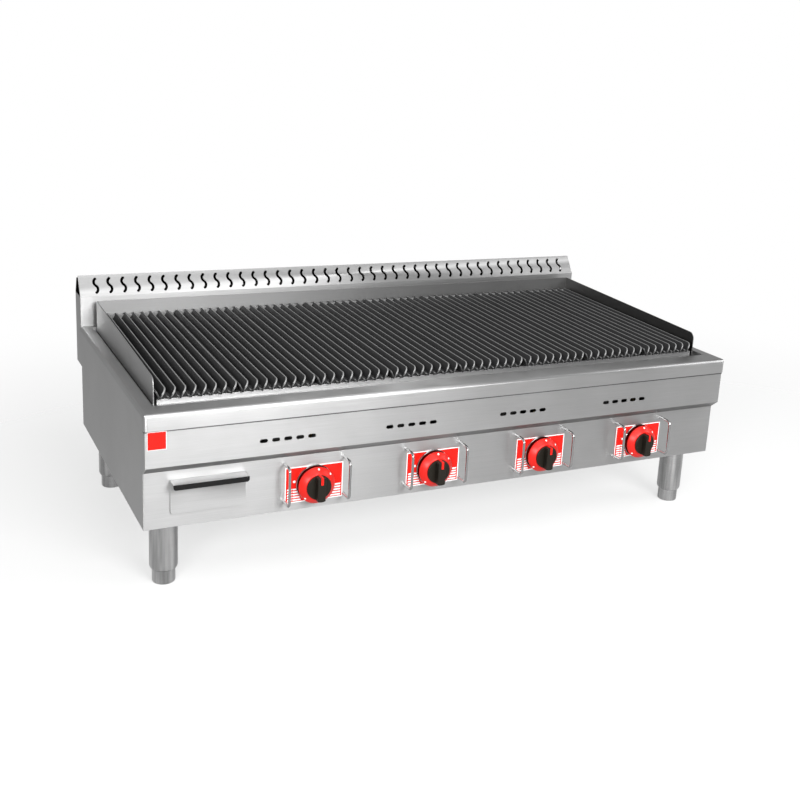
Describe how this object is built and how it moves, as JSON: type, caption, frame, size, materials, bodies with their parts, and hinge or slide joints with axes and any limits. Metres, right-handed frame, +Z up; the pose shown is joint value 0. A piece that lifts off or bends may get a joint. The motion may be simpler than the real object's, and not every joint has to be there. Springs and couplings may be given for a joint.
{
  "type": "countertop gas char-grill",
  "caption": "Countertop gas char-grill with cast grates over burners, knobs behind wire guards, a grease drawer, a vented rear flue and levelling legs.",
  "frame": {"origin": "on the standing surface, below the centre of the overall box", "axes": "+X to the right along the front, +Y from the front to the flue, +Z up"},
  "size_m": [1.22, 0.669, 0.4415],
  "materials": {
    "stainless_steel": "fine horizontal brushing",
    "heat_stained_steel": "dull, heat stained",
    "cast_iron": "as cast",
    "grate_iron": "seasoned, worn along the top edges",
    "black_pipe": "black painted pipe",
    "brass": "machined",
    "red_enamel": "gloss printed enamel",
    "chrome": "polished plating",
    "black_plastic": "satin moulded",
    "red_plastic": "semi-gloss moulded",
    "foot_steel": "turned stainless steel"
  },
  "bodies": {
    "casing": {"top_frame": "stainless_steel", "left_side_panel": "stainless_steel", "right_side_panel": "stainless_steel", "upper_front_panel": "stainless_steel", "control_panel": "stainless_steel", "rear_panel": "stainless_steel", "base_pan": "stainless_steel", "flue_front": "stainless_steel", "flue_back": "stainless_steel", "flue_hood": "stainless_steel", "flue_end_caps": "stainless_steel", "splash_guard": "stainless_steel", "firebox": "heat_stained_steel", "firebox_back": "heat_stained_steel", "firebox_back_rail": "heat_stained_steel", "grate_rests": "stainless_steel", "burner_1": "cast_iron", "burner_2": "cast_iron", "burner_3": "cast_iron", "burner_4": "cast_iron", "radiants": "heat_stained_steel", "drip_tray": "stainless_steel", "gas_manifold": "black_pipe", "gas_valves": "brass", "burner_feed_pipes": "brass", "control_plates": "red_enamel", "knob_bezels": "chrome", "knob_wire_guards": "chrome", "leg_tubes": "stainless_steel", "leg_fixings": "heat_stained_steel", "badge": "red_enamel", "casing_screws": "heat_stained_steel", "drawer_runners": "heat_stained_steel"},
    "grate_section_1": {"grate_1": "grate_iron"},
    "grate_section_2": {"grate_2": "grate_iron"},
    "grate_section_3": {"grate_3": "grate_iron"},
    "grate_section_4": {"grate_4": "grate_iron"},
    "grate_section_5": {"grate_5": "grate_iron"},
    "grate_section_6": {"grate_6": "grate_iron"},
    "grate_section_7": {"grate_7": "grate_iron"},
    "grate_section_8": {"grate_8": "grate_iron"},
    "valve_stem_1": {"valve_spindle_1": "chrome"},
    "knob_1": {"knob_grip_1": "black_plastic", "knob_skirt_1": "red_plastic"},
    "valve_stem_2": {"valve_spindle_2": "chrome"},
    "knob_2": {"knob_grip_2": "black_plastic", "knob_skirt_2": "red_plastic"},
    "valve_stem_3": {"valve_spindle_3": "chrome"},
    "knob_3": {"knob_grip_3": "black_plastic", "knob_skirt_3": "red_plastic"},
    "valve_stem_4": {"valve_spindle_4": "chrome"},
    "knob_4": {"knob_grip_4": "black_plastic", "knob_skirt_4": "red_plastic"},
    "drawer": {"grease_drawer": "stainless_steel", "drawer_front": "stainless_steel", "drawer_grip": "black_plastic"},
    "levelling_foot_1": {"foot_1": "foot_steel"},
    "levelling_foot_2": {"foot_2": "foot_steel"},
    "levelling_foot_3": {"foot_3": "foot_steel"},
    "levelling_foot_4": {"foot_4": "foot_steel"}
  },
  "joints": [
    {"name": "grate_1_lift", "type": "slide", "parent": "casing", "child": "grate_section_1", "axis": [0, 0, 1], "range_m": [0, 0.15]},
    {"name": "grate_2_lift", "type": "slide", "parent": "casing", "child": "grate_section_2", "axis": [0, 0, 1], "range_m": [0, 0.15]},
    {"name": "grate_3_lift", "type": "slide", "parent": "casing", "child": "grate_section_3", "axis": [0, 0, 1], "range_m": [0, 0.15]},
    {"name": "grate_4_lift", "type": "slide", "parent": "casing", "child": "grate_section_4", "axis": [0, 0, 1], "range_m": [0, 0.15]},
    {"name": "grate_5_lift", "type": "slide", "parent": "casing", "child": "grate_section_5", "axis": [0, 0, 1], "range_m": [0, 0.15]},
    {"name": "grate_6_lift", "type": "slide", "parent": "casing", "child": "grate_section_6", "axis": [0, 0, 1], "range_m": [0, 0.15]},
    {"name": "grate_7_lift", "type": "slide", "parent": "casing", "child": "grate_section_7", "axis": [0, 0, 1], "range_m": [0, 0.15]},
    {"name": "grate_8_lift", "type": "slide", "parent": "casing", "child": "grate_section_8", "axis": [0, 0, 1], "range_m": [0, 0.15]},
    {"name": "knob_1_turn", "type": "hinge", "parent": "casing", "child": "valve_stem_1", "pos_m": [-0.301, -0.292, 0.173], "axis": [0, -1, 0], "range_deg": [0, 220]},
    {"name": "knob_1_push", "type": "slide", "parent": "valve_stem_1", "child": "knob_1", "axis": [0, 1, 0], "range_m": [0, 0.004], "stiffness_N_per_m": 500},
    {"name": "knob_2_turn", "type": "hinge", "parent": "casing", "child": "valve_stem_2", "pos_m": [-0.062, -0.292, 0.173], "axis": [0, -1, 0], "range_deg": [0, 220]},
    {"name": "knob_2_push", "type": "slide", "parent": "valve_stem_2", "child": "knob_2", "axis": [0, 1, 0], "range_m": [0, 0.004], "stiffness_N_per_m": 500},
    {"name": "knob_3_turn", "type": "hinge", "parent": "casing", "child": "valve_stem_3", "pos_m": [0.177, -0.292, 0.173], "axis": [0, -1, 0], "range_deg": [0, 220]},
    {"name": "knob_3_push", "type": "slide", "parent": "valve_stem_3", "child": "knob_3", "axis": [0, 1, 0], "range_m": [0, 0.004], "stiffness_N_per_m": 500},
    {"name": "knob_4_turn", "type": "hinge", "parent": "casing", "child": "valve_stem_4", "pos_m": [0.416, -0.292, 0.173], "axis": [0, -1, 0], "range_deg": [0, 220]},
    {"name": "knob_4_push", "type": "slide", "parent": "valve_stem_4", "child": "knob_4", "axis": [0, 1, 0], "range_m": [0, 0.004], "stiffness_N_per_m": 500},
    {"name": "drawer_slide", "type": "slide", "parent": "casing", "child": "drawer", "axis": [0, -1, 0], "range_m": [0, 0.42]},
    {"name": "foot_1_screw", "type": "slide", "parent": "casing", "child": "levelling_foot_1", "axis": [0, 0, -1], "range_m": [0, 0.025]},
    {"name": "foot_2_screw", "type": "slide", "parent": "casing", "child": "levelling_foot_2", "axis": [0, 0, -1], "range_m": [0, 0.025]},
    {"name": "foot_3_screw", "type": "slide", "parent": "casing", "child": "levelling_foot_3", "axis": [0, 0, -1], "range_m": [0, 0.025]},
    {"name": "foot_4_screw", "type": "slide", "parent": "casing", "child": "levelling_foot_4", "axis": [0, 0, -1], "range_m": [0, 0.025]}
  ]
}
